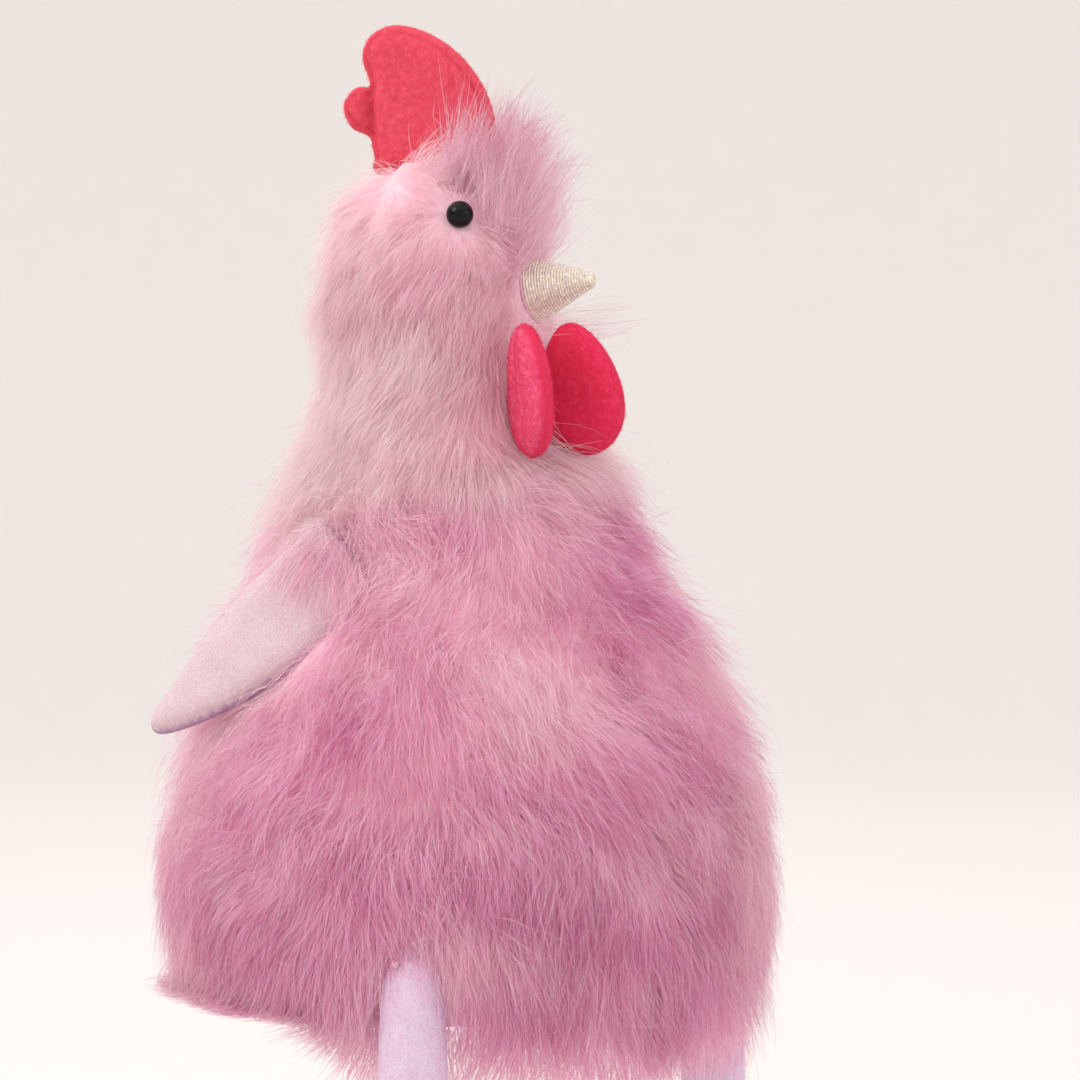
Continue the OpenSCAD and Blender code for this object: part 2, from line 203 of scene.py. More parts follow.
def math_node(nodes, links, op, a, b=None):
    n = nodes.new("ShaderNodeMath")
    n.operation = op
    for i, v in enumerate((a, b)):
        if v is None:
            continue
        if isinstance(v, (int, float)):
            n.inputs[i].default_value = v
        else:
            links.new(v, n.inputs[i])
    return n.outputs[0]


def mix_colour(nodes, links, fac, a, b, blend="MIX"):
    n = nodes.new("ShaderNodeMix")
    n.data_type = "RGBA"
    n.blend_type = blend
    for socket, v in ((n.inputs[0], fac), (n.inputs[6], a), (n.inputs[7], b)):
        if isinstance(v, (int, float, tuple)):
            socket.default_value = v
        else:
            links.new(v, socket)
    return n.outputs[2]


def noise(nodes, links, scale, detail, rough):
    tex = nodes.new("ShaderNodeTexNoise")
    tex.inputs["Scale"].default_value = scale
    tex.inputs["Detail"].default_value = detail
    tex.inputs["Roughness"].default_value = rough
    links.new(nodes.new("ShaderNodeTexCoord").outputs["Object"], tex.inputs["Vector"])
    return tex.outputs["Fac"]


# The pile's colours lie on a chart. Across it runs the tone, twice over, the second time with dark tips,
# and up it runs the strand.
TONES = [
    (0.00, srgb(255, 243, 244)), (0.15, srgb(255, 233, 238)), (0.30, srgb(255, 224, 235)),
    (0.45, srgb(254, 215, 235)),
    (0.60, srgb(250, 204, 231)), (0.74, srgb(245, 188, 223)), (0.88, srgb(233, 153, 201)),
    (1.00, srgb(207, 102, 156))]
DARK_TIP = srgb(202, 84, 134)


def fur_material():
    mat, nodes, links, bsdf = node_material("pile")
    uv = nodes.new("ShaderNodeUVMap")
    uv.uv_map = "OFBake"
    split = nodes.new("ShaderNodeSeparateXYZ")
    links.new(uv.outputs["UV"], split.inputs[0])
    u, v = split.outputs[0], split.outputs[1]
    tone = math_node(nodes, links, "FRACT", math_node(nodes, links, "MULTIPLY", u, 2.0))
    tipped = math_node(nodes, links, "GREATER_THAN", u, 0.5)
    base = ramp(nodes, TONES, tone, links)
    tip = math_node(nodes, links, "MULTIPLY_ADD", v, 2.2)
    tip.node.inputs[2].default_value = -1.25
    tip.node.use_clamp = True
    tip = math_node(nodes, links, "MULTIPLY", tip, tipped)
    colour = mix_colour(nodes, links, tip, base, DARK_TIP)
    # Painted shade: each strand is darker towards its root, deep in the pile where the strands shade one
    # another.
    root = ramp(nodes, [(0.0, (0.94, 0.86, 0.88, 1)), (0.3, (1, 1, 1, 1))], v, links)
    colour = mix_colour(nodes, links, 1.0, colour, root, "MULTIPLY")
    links.new(colour, bsdf.inputs["Base Color"])
    bsdf.inputs["Roughness"].default_value = 0.6
    bsdf.inputs["Specular IOR Level"].default_value = 0.3
    bsdf.inputs["Sheen Weight"].default_value = 0.2
    bsdf.inputs["Sheen Roughness"].default_value = 0.5
    glow = nodes.new("ShaderNodeBsdfTranslucent")
    links.new(colour, glow.inputs["Color"])
    mix = nodes.new("ShaderNodeMixShader")
    mix.inputs[0].default_value = 0.55
    links.new(bsdf.outputs[0], mix.inputs[1])
    links.new(glow.outputs[0], mix.inputs[2])
    links.new(mix.outputs[0], nodes["Material Output"].inputs["Surface"])
    return mat


def skin_material():
    mat, nodes, links, bsdf = node_material("underfur")
    mottle = noise(nodes, links, 160, 4, 0.7)
    colour = ramp(nodes, [(0.3, srgb(242, 190, 210)), (0.5, srgb(250, 212, 224)),
                          (0.75, srgb(254, 230, 232))], mottle, links)
    links.new(colour, bsdf.inputs["Base Color"])
    bsdf.inputs["Roughness"].default_value = 0.9
    bsdf.inputs["Sheen Weight"].default_value = 0.3
    return mat


def cloth_material(name, dark, mid, light, rim, scale, sheen, bump=0.25, other=None):
    """Brushed cloth, mottled. Where the attribute rim is 1 it has the rim's colour, and where face is 1
    the other palette."""
    mat, nodes, links, bsdf = node_material(name)
    fine = noise(nodes, links, scale, 3, 0.75)
    broad = noise(nodes, links, scale / 14, 2, 0.5)
    total = math_node(nodes, links, "ADD", math_node(nodes, links, "MULTIPLY", fine, 0.88),
                      math_node(nodes, links, "MULTIPLY", broad, 0.12))
    colour = ramp(nodes, [(0.34, dark), (0.5, mid), (0.66, light)], total, links)
    if other:
        face = nodes.new("ShaderNodeAttribute")
        face.attribute_name = "face"
        second = ramp(nodes, [(0.34, other[0]), (0.5, other[1]), (0.66, other[2])], total, links)
        colour = mix_colour(nodes, links, face.outputs["Fac"], colour, second)
    edge = nodes.new("ShaderNodeAttribute")
    edge.attribute_name = "rim"
    colour = mix_colour(nodes, links, edge.outputs["Fac"], colour, rim)
    links.new(colour, bsdf.inputs["Base Color"])
    bsdf.inputs["Roughness"].default_value = 0.92
    bsdf.inputs["Specular IOR Level"].default_value = 0.2
    bsdf.inputs["Sheen Weight"].default_value = sheen
    bsdf.inputs["Sheen Roughness"].default_value = 0.45
    bsdf.inputs["Sheen Tint"].default_value = light
    b = nodes.new("ShaderNodeBump")
    b.inputs["Strength"].default_value = bump
    b.inputs["Distance"].default_value = 0.0006
    links.new(fine, b.inputs["Height"])
    links.new(b.outputs[0], bsdf.inputs["Normal"])
    return mat


def plain(name, colour, rough):
    mat, _, _, bsdf = node_material(name)
    bsdf.inputs["Base Color"].default_value = colour
    bsdf.inputs["Roughness"].default_value = rough
    return mat


PILE = fur_material()
SKIN = skin_material()
FELT = cloth_material("wing_felt", srgb(198, 174, 184), srgb(214, 192, 198), srgb(228, 212, 212),
                      srgb(160, 124, 164), 1500, 0.25,
                      other=(srgb(184, 162, 188), srgb(202, 180, 204), srgb(218, 198, 216)))
LEG_FELT = cloth_material("leg_felt", srgb(206, 184, 206), srgb(222, 202, 224), srgb(234, 218, 236),
                          srgb(206, 172, 206), 1300, 0.25)
COMB_VELVET = cloth_material("comb_velvet", srgb(212, 64, 84), srgb(220, 74, 94), srgb(230, 92, 110),
                             srgb(208, 56, 78), 420, 0.5, 0.05)
# Painted sheen: the second palette, lighter and pinker, goes on each wattle's outer face and stands for the
# nap catching the light there.
WATTLE_VELVET = cloth_material("wattle_velvet", srgb(214, 36, 72), srgb(222, 46, 84), srgb(230, 62, 100),
                               srgb(216, 50, 88), 420, 0.45, 0.05,
                               (srgb(214, 64, 100), srgb(224, 78, 116), srgb(234, 106, 140)))
NAP_CORAL = plain("comb_nap", srgb(226, 84, 106), 0.9)
NAP_ROSE = plain("wattle_nap", srgb(224, 58, 98), 0.9)
THREAD = plain("seam_thread", srgb(226, 176, 196), 0.8)
EYE = plain("eye_black", srgb(4, 4, 6), 0.06)
EYE.node_tree.nodes["Principled BSDF"].inputs["Specular IOR Level"].default_value = 0.22


# ---------------------------------------------------------------- strands of pile
def make_strands(name, path, side_hint, width, tone, tipped, body, normals, material=PILE):
    """One mesh of tapering ribbons. path is strand by point by XYZ, and side_hint the surface's normal
    at each root."""
    n, m, _ = path.shape
    r = np.random.default_rng(abs(hash_name(name)))
    tangent = unit(np.gradient(path, axis=1))
    across = unit(np.cross(tangent, side_hint[:, None, :]))
    up = np.cross(across, tangent)
    roll = r.normal(0, 0.55, (n, 1, 1))
    across_r = across * np.cos(roll) + up * np.sin(roll)
    facing = unit(np.cross(across_r, tangent))
    taper = np.interp(np.linspace(0, 1, m), [0, 0.15, 0.6, 0.85, 1], [0.7, 1, 0.85, 0.5, 0.12])
    half = 0.5 * width[:, None, None] * taper[None, :, None]
    left, right = path - across_r * half, path + across_r * half
    verts = np.empty((n, 2 * m - 1, 3))
    verts[:, 0 : 2 * m - 2 : 2] = left[:, :-1]
    verts[:, 1 : 2 * m - 2 : 2] = right[:, :-1]
    verts[:, -1] = path[:, -1]
    nv = 2 * m - 1
    soft = unit(0.75 * normals[:, None, :] + 0.65 * facing)
    vn = np.empty((n, nv, 3))
    vn[:, 0 : 2 * m - 2 : 2] = soft[:, :-1]
    vn[:, 1 : 2 * m - 2 : 2] = soft[:, :-1]
    vn[:, -1] = soft[:, -1]
    quad = np.array([[2 * i, 2 * i + 1, 2 * i + 3, 2 * i + 2] for i in range(m - 2)]).reshape(-1)
    tri = np.array([2 * m - 4, 2 * m - 3, 2 * m - 2])
    per = np.concatenate([quad, tri])
    loops = (np.arange(n)[:, None] * nv + per[None, :]).reshape(-1)
    sizes = np.tile(np.array([4] * (m - 2) + [3]), n)
    starts = np.concatenate([[0], np.cumsum(sizes)[:-1]])
    mesh = bpy.data.meshes.new(name)
    mesh.vertices.add(n * nv)
    verts[..., 2] -= SEAT
    mesh.vertices.foreach_set("co", (verts * MM).astype(np.float32).reshape(-1))
    mesh.loops.add(len(loops))
    mesh.loops.foreach_set("vertex_index", loops.astype(np.int32))
    mesh.polygons.add(len(sizes))
    mesh.polygons.foreach_set("loop_start", starts.astype(np.int32))
    mesh.update(calc_edges=True)
    uv = mesh.uv_layers.new(name="OFBake")
    along = np.linspace(0.01, 0.99, m)
    vv = np.empty(nv)
    vv[0 : 2 * m - 2 : 2] = along[:-1]
    vv[1 : 2 * m - 2 : 2] = along[:-1]
    vv[-1] = along[-1]
    shift = np.where(np.arange(nv) % 2 == 0, -0.004, 0.004)
    shift[-1] = 0
    u = (0.02 + 0.46 * np.clip(tone, 0, 1) + 0.5 * tipped)[:, None] + shift[None, :]
    uvs = np.stack([u, np.broadcast_to(vv, (n, nv))], -1).reshape(-1, 2)[loops]
    uv.data.foreach_set("uv", uvs.astype(np.float32).reshape(-1))
    mesh.materials.append(material)
    mesh.polygons.foreach_set("use_smooth", np.ones(len(sizes), bool))
    mesh.normals_split_custom_set_from_vertices(vn.reshape(-1, 3).astype(np.float32))
    mesh.update()
    obj = link(bpy.data.objects.new(name, mesh))
    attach(obj, body)
    return obj


def hash_name(name):
    return sum((i + 1) * ord(c) for i, c in enumerate(name)) % 100003


def girth_at(h):
    """Radius of the woven back at a height along the trunk, and its slope."""
    heights, radii = GIRTH[:, 0], GIRTH[:, 1]
    fine_h = np.linspace(heights[0], heights[-1], 900)
    slope = np.gradient(radii, heights)
    i = np.clip(np.searchsorted(heights, fine_h, "right") - 1, 0, len(heights) - 2)
    w = heights[i + 1] - heights[i]
    t = (fine_h - heights[i]) / w
    r = ((2 * t**3 - 3 * t**2 + 1) * radii[i] + (t**3 - 2 * t**2 + t) * w * slope[i]
         + (3 * t**2 - 2 * t**3) * radii[i + 1] + (t**3 - t**2) * w * slope[i + 1])
    r = np.maximum(r, 0)
    radius = np.interp(h, fine_h, r)
    grade = np.interp(h, fine_h, np.gradient(r, fine_h))
    return radius, grade


def scatter(rng, count, low, high, outset=0.0):
    """Roots spread evenly over the woven back between two heights, in the trunk's frame, with normals."""
    h = np.linspace(low, high, 600)
    r, g = girth_at(h)
    weight = r * np.sqrt(1 + g**2) + 0.3
    cum = np.concatenate([[0], np.cumsum(0.5 * (weight[1:] + weight[:-1]))])
    hh = np.interp(rng.uniform(0, cum[-1], count), cum, h)
    phi = rng.uniform(-math.pi, math.pi, count)
    r, g = girth_at(hh)
    g = np.clip(g, -6, 6)
    normal = unit(np.stack([np.cos(phi), np.sin(phi), -g], -1))
    p = np.stack([r * np.cos(phi), r * np.sin(phi), hh], -1) + normal * outset
    return p, normal, phi


swirl_big, swirl_mid, swirl_fine = vector_waves(11, 46), vector_waves(23, 17), vector_waves(31, 6)
tone_big, tone_mid, tone_fine = waves(41, 40), waves(43, 14), waves(47, 4)
length_waves, lift_waves = waves(53, 26), waves(59, 20)


def tangential(v, normal):
    return unit(v - normal * (v * normal).sum(-1, keepdims=True))


def grow_paths(rng, p, normal, comb, length, lift, droop, points=6, curl=0.18, clump=0.6):
    """Paths of strands that leave the cloth along its normal and lie over along comb."""
    n = len(p)
    s = np.linspace(0, 1, points)
    path = np.empty((n, points, 3))
    path[:, 0] = p
    wander = rng.normal(0, curl, (n, 3)) + 0.5 * swirl_fine(p) * curl
    down = np.array([0, 0, -1.0])
    for i in range(1, points):
        t = (s[i] + s[i - 1]) / 2
        d = (normal * (lift * (1 - t) ** 1.2 + 0.10)[:, None] + comb * (0.35 + 0.95 * t)
             + down * droop * t + wander * (0.5 + t) + rng.normal(0, 0.05, (n, 3)))
        path[:, i] = path[:, i - 1] + unit(d) * (length / (points - 1))[:, None]
    if clump > 0 and n > 50:
        count = max(20, int(n / 26))
        pick = rng.choice(n, count, replace=False)
        tree = kdtree.KDTree(count)
        for k, i in enumerate(pick):
            tree.insert(Vector(p[i]), k)
        tree.balance()
        near = np.array([tree.find(Vector(q))[1] for q in p])
        g = pick[near]
        own = path - path[:, :1]
        guide = path[g] - path[g][:, :1]
        root = path[:, :1]
        groot = path[g][:, :1]
        pull = clump * s[None, :, None] ** 1.4 * rng.uniform(0.3, 1.15, (n, 1, 1))
        together = groot + guide + (root - groot) * (1 - 0.75 * s[None, :, None])
        path = (root + own) * (1 - pull) + together * pull
    return path


def to_row(rotation, *arrays):
    return [a @ rotation.T for a in arrays]


# ---------------------------------------------------------------- things the pile lies round
def wing_local(p, side):
    q = p if side < 0 else p @ MIRROR
    return (q - WING_ROOT) @ WING


def wattle_frame(side):
    r = THROAT @ turn_z(side * 25) @ turn_z(-90) @ turn_x(90) @ turn_z(8)
    o = THROAT @ np.array([side * 6, -42.5, 248.0])
    return r, o


WING_OUTLINE = smooth_closed([
    (0, -15), (14, -17.5), (38, -16.5), (62, -12), (82, -7), (94, -3.5), (96, 2.5), (88, 8), (72, 14),
    (50, 19),
    (26, 20.5), (8, 19), (0, 15)], 6)
WATTLE_OUTLINE = np.array([
    (16 * math.sin(a) * (1 - 0.22 * math.cos(a)) + 32 * 0.42, 24.5 * math.cos(a) - 21.5)
    for a in circle(72)])
COMB_OUTLINE = smooth_closed([
    (18, -4.5), (23, 1), (25, 12), (21, 26), (12, 38.5), (0, 47), (-13, 51), (-22.5, 48), (-26.5, 40),
    (-24, 29.5),
    (-29, 28.5), (-33.5, 22), (-31, 14), (-25, 10), (-23.5, 3), (-20.5, -4.5)], 6)
FOOT_OUTLINE = smooth_closed([
    (0, -13), (-8, -11), (-11, -3), (-13, 10), (-21, 24), (-24, 36), (-18, 39), (-11.5, 30), (-6, 34),
    (-6, 48),
    (0, 54), (6, 48), (6, 34), (11.5, 30), (18, 39), (24, 36), (21, 24), (13, 10), (11, -3), (8, -11)], 4)


def inside_outline(q, outline):
    x, y = q[..., 0], q[..., 1]
    hit = np.zeros(x.shape, bool)
    a, b = outline, np.roll(outline, -1, axis=0)
    for (x0, y0), (x1, y1) in zip(a, b):
        if y0 == y1:
            continue
        cross = (y0 > y) != (y1 > y)
        hit ^= cross & (x < (x1 - x0) * (y - y0) / (y1 - y0) + x0)
    return hit


def part_round(path, head_only):
    """Strands that would run through a wing, leg, wattle, comb, beak or eye go over it or are left out."""
    keep = np.ones(len(path), bool)
    if head_only:
        q = path @ HEAD
        a = q - COMB_SEAM
        comb = np.stack([-a[..., 1], a[..., 2]], -1)
        hit = (np.abs(a[..., 0]) < 5.5) & inside_outline(comb, COMB_OUTLINE)
        keep &= ~hit[:, 1:].any(1)
        tilt = math.radians(BEAK_PITCH)
        axis = np.array([0, -math.cos(tilt), math.sin(tilt)])
        b = q - BEAK_BASE
        t = (b * axis).sum(-1)
        rad = np.linalg.norm(b - t[..., None] * axis, axis=-1)
        hit = (t > 0) & (t < 27) & (rad < np.interp(t, [0, 26], [12.9, 4.2]))
        keep &= ~hit.any(1)
        for side in (-1, 1):
            aim = np.array([side * math.sin(EYE_ANGLE), -math.cos(EYE_ANGLE), 0])
            e = aim * EYE_OUT + np.array([0, 0, EYE_H])
            d = q - e
            near = np.linalg.norm(d, axis=-1) < 5.1
            ahead = (np.linalg.norm(np.cross(d, aim), axis=-1) < 4.5) & ((d * aim).sum(-1) > 0)
            keep &= ~(near | ahead).any(1)
    for side in (-1, 1):
        r, o = wattle_frame(side)
        q = (path - o) @ r
        hit = (np.abs(q[..., 2]) < 5.6) & inside_outline(q[..., :2], WATTLE_OUTLINE)
        keep &= ~hit.any(1)
    if not head_only:
        for side in (-1, 1):
            q = wing_local(path, side)
            near = inside_outline(q[..., :2], WING_OUTLINE * 1.03) & (np.abs(q[..., 2]) < 7.5)
            start = q[:, 0]
            above = (start[:, 0] < 8) & (np.abs(start[:, 1]) < 40)
            lift = near & above[:, None]
            z = np.where(lift, 7.2 + 0.4 * np.abs(q[..., 2]), q[..., 2])
            q2 = q.copy()
            q2[..., 2] = z
            moved = q2 @ WING.T + WING_ROOT
            if side > 0:
                moved = moved @ MIRROR
            path = np.where(lift[..., None], moved, path)
            keep &= ~(near & ~above[:, None]).any(1)
            leg = np.array([side * LEG_X, LEG_Y])
            d = path[..., :2] - leg
            dist = np.linalg.norm(d, axis=-1)
            span = (path[..., 2] < HIP_Z + 7)
            rad = np.interp(path[..., 2], [-4, 12, 26, 34, 41], [13.6, 12.4, 9.6, 8.6, 6])
            hit = span & (dist < rad)
            out = unit(d) * rad[..., None]
            pushed = path.copy()
            pushed[..., :2] = np.where(hit[..., None], leg + out, path[..., :2])
            outer = (path[:, 0, 2] > 20) & (path[:, 0, 2] < 75)
            path = np.where(outer[:, None, None], pushed, path)
            under = (path[..., 2] < 20) & (dist < rad + 3.5)
            keep &= (outer & ~under.any(1)) | (~outer & ~hit.any(1))
    return path, keep


# ---------------------------------------------------------------- the pile itself
def strand_tone(rng, p, warm, dark):
    """Tone from 0, pale peach, to 1, raspberry, and whether the tip is dark."""
    n = len(p)
    patch = 0.7 * tone_big(p) + 0.5 * tone_mid(p)
    # Besides the pile's own tone, warm and dark carry what the callers paint in: warm light on the side
    # towards the key lamp, and shade on the body's front.
    tone = 0.40 + 0.23 * patch + 0.06 * tone_fine(p) + rng.normal(0, 0.15, n) - 0.24 * warm + 0.2 * dark
    pale = rng.uniform(size=n) < np.clip(0.17 + 0.12 * np.clip(warm, 0, 1) - 0.06 * patch, 0.02, 1)
    tone = np.where(pale, rng.uniform(0.02, 0.2, n), tone)
    tipped = (rng.uniform(size=n) < np.clip(0.28 + 0.35 * dark + 0.2 * patch, 0.03, 0.9)).astype(float)
    return np.clip(tone, 0, 1), tipped


def body_pile(name, seed, count, low, high, azimuth_low, azimuth_high):
    """Pile of the trunk between two heights and two azimuths, in radians counter-clockwise from the
    hen's left."""
    rng = np.random.default_rng(seed)
    share = (azimuth_high - azimuth_low) / (2 * math.pi)
    p, normal, phi = scatter(rng, int(count / share), low, high, 1.5)
    pick = (phi >= azimuth_low) & (phi < azimuth_high)
    p, normal, phi = p[pick], normal[pick], phi[pick]
    h = p[:, 2].copy()
    p, normal = to_row(TRUNK, p, normal)
    front = np.clip(-np.sin(phi), -1, 1)
    down = np.array([0, 0, -1.0])
    comb = tangential(down + 0.36 * swirl_big(p) + 0.32 * swirl_mid(p), normal)
    n = len(p)
    length = (33 + 4 * length_waves(p) + rng.normal(0, 5, n)) * np.interp(h, [-16, 10, 60, 196],
            [0.95, 1.0, 1.0, 0.85])
    stray = rng.uniform(size=n) < 0.09
    length = np.where(stray, length * rng.uniform(1.15, 1.45, n), length)
    lift = (0.80 + 0.22 * lift_waves(p) + 0.16 * rng.normal(size=n)) * np.interp(h, [10, 40, 90, 130],
            [0.6, 0.72, 0.85, 1.0])
    lift = lift + np.where(stray, 0.6, 0)
    path = grow_paths(rng, p, normal, comb, length, lift, 0.25, curl=np.where(stray, 0.6, 0.28)[:, None],
                      clump=0.6)
    # Behind and at the sides the lowest pile spreads out on what the hen sits on; in front it hangs.
    behind = np.clip((p[:, 1] + 30) / 25, 0, 1)[:, None]
    floor = SEAT + 0.8 + rng.uniform(0, 3.0, (n, 1))
    below = np.maximum(floor - path[..., 2], 0) * behind
    outward = unit(path[..., :2])
    path[..., :2] += outward * (below * 0.45)[..., None]
    path[..., 2] += below
    path, keep = part_round(path, False)
    # Long hairs are drawn in, so that the pile stays within reach of the body's own size.
    middle = np.array([0, 3.4])
    reach = np.linalg.norm(path[..., :2] - middle, axis=-1)
    span = rng.uniform(9, 15.5, (n, 1))
    held = np.where(reach > 110, 110 + span * (1 - np.exp((110 - reach) * 0.8 / span)), reach)
    path[..., :2] = middle + (path[..., :2] - middle) * (held / np.maximum(reach, 1))[..., None]
    # Painted shade: towards the front, the side turned from the key lamp, the pile is darker and more often
    # dark-tipped.
    dark = np.clip(np.interp(h, [-16, 30, 110, 150, 196], [0.3, 0.2, 0.35, 0.35, 0.2]) + 0.25 * front, 0, 1)
    # Painted light: towards the back, where the key lamp's warm light falls, the pile is paler and warmer.
    warm = np.clip(0.9 * -front, 0, 1)
    tone, tipped = strand_tone(rng, p, warm, dark)
    width = rng.uniform(0.13, 0.27, n) * np.where(stray, 0.85, 1) * 1.0
    k = keep
    return make_strands(name, path[k], normal[k], width[k], tone[k], tipped[k], "torso", normal[k])


def head_comb(q, normal):
    """Direction that the pile of the head is combed in, in the head's frame."""
    d = np.array([0, 0.30, -1.0]) + 0.30 * swirl_big(q) + 0.2 * swirl_mid(q)

    def towards(weight, direction):
        nonlocal d
        d = d * (1 - weight[:, None]) + direction * weight[:, None]

    def near(centre, size):
        return np.exp(-(((q - np.array(centre)) / size) ** 2).sum(-1) / 2)

    side = np.sign(q[:, 0])[:, None]
    crown = np.clip((q[:, 2] - 294) / 12, 0, 1) * np.clip((14 - q[:, 1]) / 18, 0, 1)
    towards(0.9 * crown, np.array([0, -0.75, 0.65]))
    towards(0.9 * near((0, -30, 290), (20, 12, 12)), np.array([0, -0.4, 0.95]) + side * np.array([0.3, 0, 0]))
    beak = q - BEAK_BASE
    beak[:, 1] *= 0.2
    towards(0.7 * np.exp(-((beak**2).sum(-1)) / (2 * 14.0**2)), unit(beak) + np.array([0, 0.25, 0]))
    for s in (-1, 1):
        e = np.array([s * math.sin(EYE_ANGLE) * 30.6, -math.cos(EYE_ANGLE) * 30.6, EYE_H])
        towards(0.8 * near(e, 8.5), unit(q - e) + np.array([0, 0.15, -0.1]))
    return tangential(d, normal)


def head_pile(name, seed, count, low, high, points=6):
    rng = np.random.default_rng(seed)
    q, normal, _ = scatter(rng, count, low, high, 1.0)
    n = len(q)
    comb = head_comb(q, normal)
    face = np.exp(-(((q - BEAK_BASE) / np.array([20, 16, 18])) ** 2).sum(-1) / 2)
    length = (24 + 3 * length_waves(q) + rng.normal(0, 3.0, n)) * np.interp(q[:, 2], [196, 222, 256, 306],
            [1.3, 1.1, 0.95, 0.9])
    length = length * (1 - 0.45 * face)
    stray = rng.uniform(size=n) < 0.03
    length = np.where(stray, length * rng.uniform(1.15, 1.5, n), length)
    back = np.clip((q[:, 1] + 12) / 25, 0, 1) * np.clip((q[:, 2] - 226) / 30, 0, 1)
    lift = 0.78 + 0.2 * lift_waves(q) + np.where(stray, 0.55,
                                                 0) + 0.16 * rng.normal(size=n) - 0.35 * face - 0.22 * back
    path = grow_paths(rng, q, normal, comb, length, lift, 0.2, points, 0.26, 0.5)
    path, normal = path @ HEAD.T, normal @ HEAD.T
    path, keep = part_round(path, True)
    # Painted light: as on the body, the back of the head, where the key lamp's warm light falls, is paler and
    # warmer.
    warm = np.clip(0.25 + 0.9 * (q[:, 1] + 5) / 40, 0, 1)
    dark = np.interp(q[:, 2], [196, 222, 246, 310], [0.3, 0.15, 0.0, 0.0])
    tone, tipped = strand_tone(rng, q, warm + 0.5, dark - 0.3)
    tone = tone * 0.55
    width = rng.uniform(0.11, 0.22, n) * np.where(stray, 0.7, 1) * 1.0
    k = keep
    return make_strands(name, path[k], normal[k], width[k], tone[k], tipped[k], "head", normal[k])


def tuft():
    """The long pile over the forehead, brushed up and forwards, with raspberry tips."""
    rng = np.random.default_rng(301)
    count = 3600
    q, normal, _ = scatter(rng, count * 9, 268, CROWN_H, 1.0)
    edge = np.interp(q[:, 2], [268, 280, 310], [15, 22, 20])
    pick = (q[:, 1] < -6) & (np.abs(q[:, 0]) < edge)
    q, normal = q[pick][:count], normal[pick][:count]
    n = len(q)
    high = np.clip((q[:, 2] - 286) / 22, 0, 1)[:, None]
    aim = np.array([0, -0.36, 0.94]) * (1 - high) + np.array([0, -0.74, 0.67]) * high
    aim = unit(aim + 0.26 * swirl_mid(q) + rng.normal(0, 0.19, (n, 3)) + q[:, :1] * np.array([[0.014, 0, 0]]))
    length = np.clip(rng.normal(35, 8.5, n), 14, 58) * np.interp(q[:, 2], [268, 284, 310], [0.82, 1.0, 1.0])
    path = grow_paths(rng, q, unit(normal + 0.9 * aim), aim, length, 0.42 * np.ones(n), 0.04, 6, 0.3, 0.7)
    path, normal = path @ HEAD.T, normal @ HEAD.T
    path, keep = part_round(path, True)
    tone, tipped = strand_tone(rng, q, 0.7 * np.ones(n), np.zeros(n))
    tipped = (rng.uniform(size=n) < np.interp(q[:, 2], [276, 296], [0.2, 0.75])).astype(float)
    width = rng.uniform(0.12, 0.23, n) * 1.0
    k = keep
    return make_strands("forehead_tuft", path[k], normal[k], width[k], tone[k], tipped[k], "head", normal[k])


def whiskers():
    """Long pale pile under and beside the beak that stands out in front."""
    rng = np.random.default_rng(307)
    count = 170
    q, normal, _ = scatter(rng, count * 60, 244, 258, 1.0)
    pick = (q[:, 1] < -24) & (np.abs(q[:, 0]) < 24)
    q, normal = q[pick][:count], normal[pick][:count]
    n = len(q)
    aim = unit(np.array([0, -0.9, 0.16]) + rng.normal(0, 0.22, (n, 3)) + q[:, :1] * np.array([[0.02, 0, 0]]))
    length = np.clip(rng.normal(34, 8, n), 18, 58)
    path = grow_paths(rng, q, normal, aim, length, 0.5 * np.ones(n), 0.08, 6, 0.15, 0.75)
    path, normal = path @ HEAD.T, normal @ HEAD.T
    path, keep = part_round(path, True)
    tone = np.clip(rng.normal(0.22, 0.12, n), 0, 1)
    tipped = (rng.uniform(size=n) < 0.35).astype(float)
    width = rng.uniform(0.10, 0.18, n) * 1.0
    k = keep
    return make_strands("whiskers", path[k], normal[k], width[k], tone[k], tipped[k], "head", normal[k])


def build_pile():
    thin = 1.0
    quarters = [(-math.pi, -math.pi / 2, "right_front"), (-math.pi / 2, 0, "left_front"),
                (0, math.pi / 2, "left_back"), (math.pi / 2, math.pi, "right_back")]
    for i, (a, b, where) in enumerate(quarters):
        body_pile("pile_low_" + where, 101 + i, int(21000 * thin), 3, 84, a, b)
        body_pile("pile_high_" + where, 111 + i, int(15500 * thin), 80, 195, a, b)
    head_pile("pile_neck", 201, int(21500 * thin), 196.5, 236)
    head_pile("pile_neck_edge", 204, int(6000 * thin), 196.5, 206)
    head_pile("pile_cheeks", 202, int(21500 * thin), 232, 272)
    head_pile("pile_crown", 203, int(21500 * thin), 268, 312.5)
    tuft()
    whiskers()


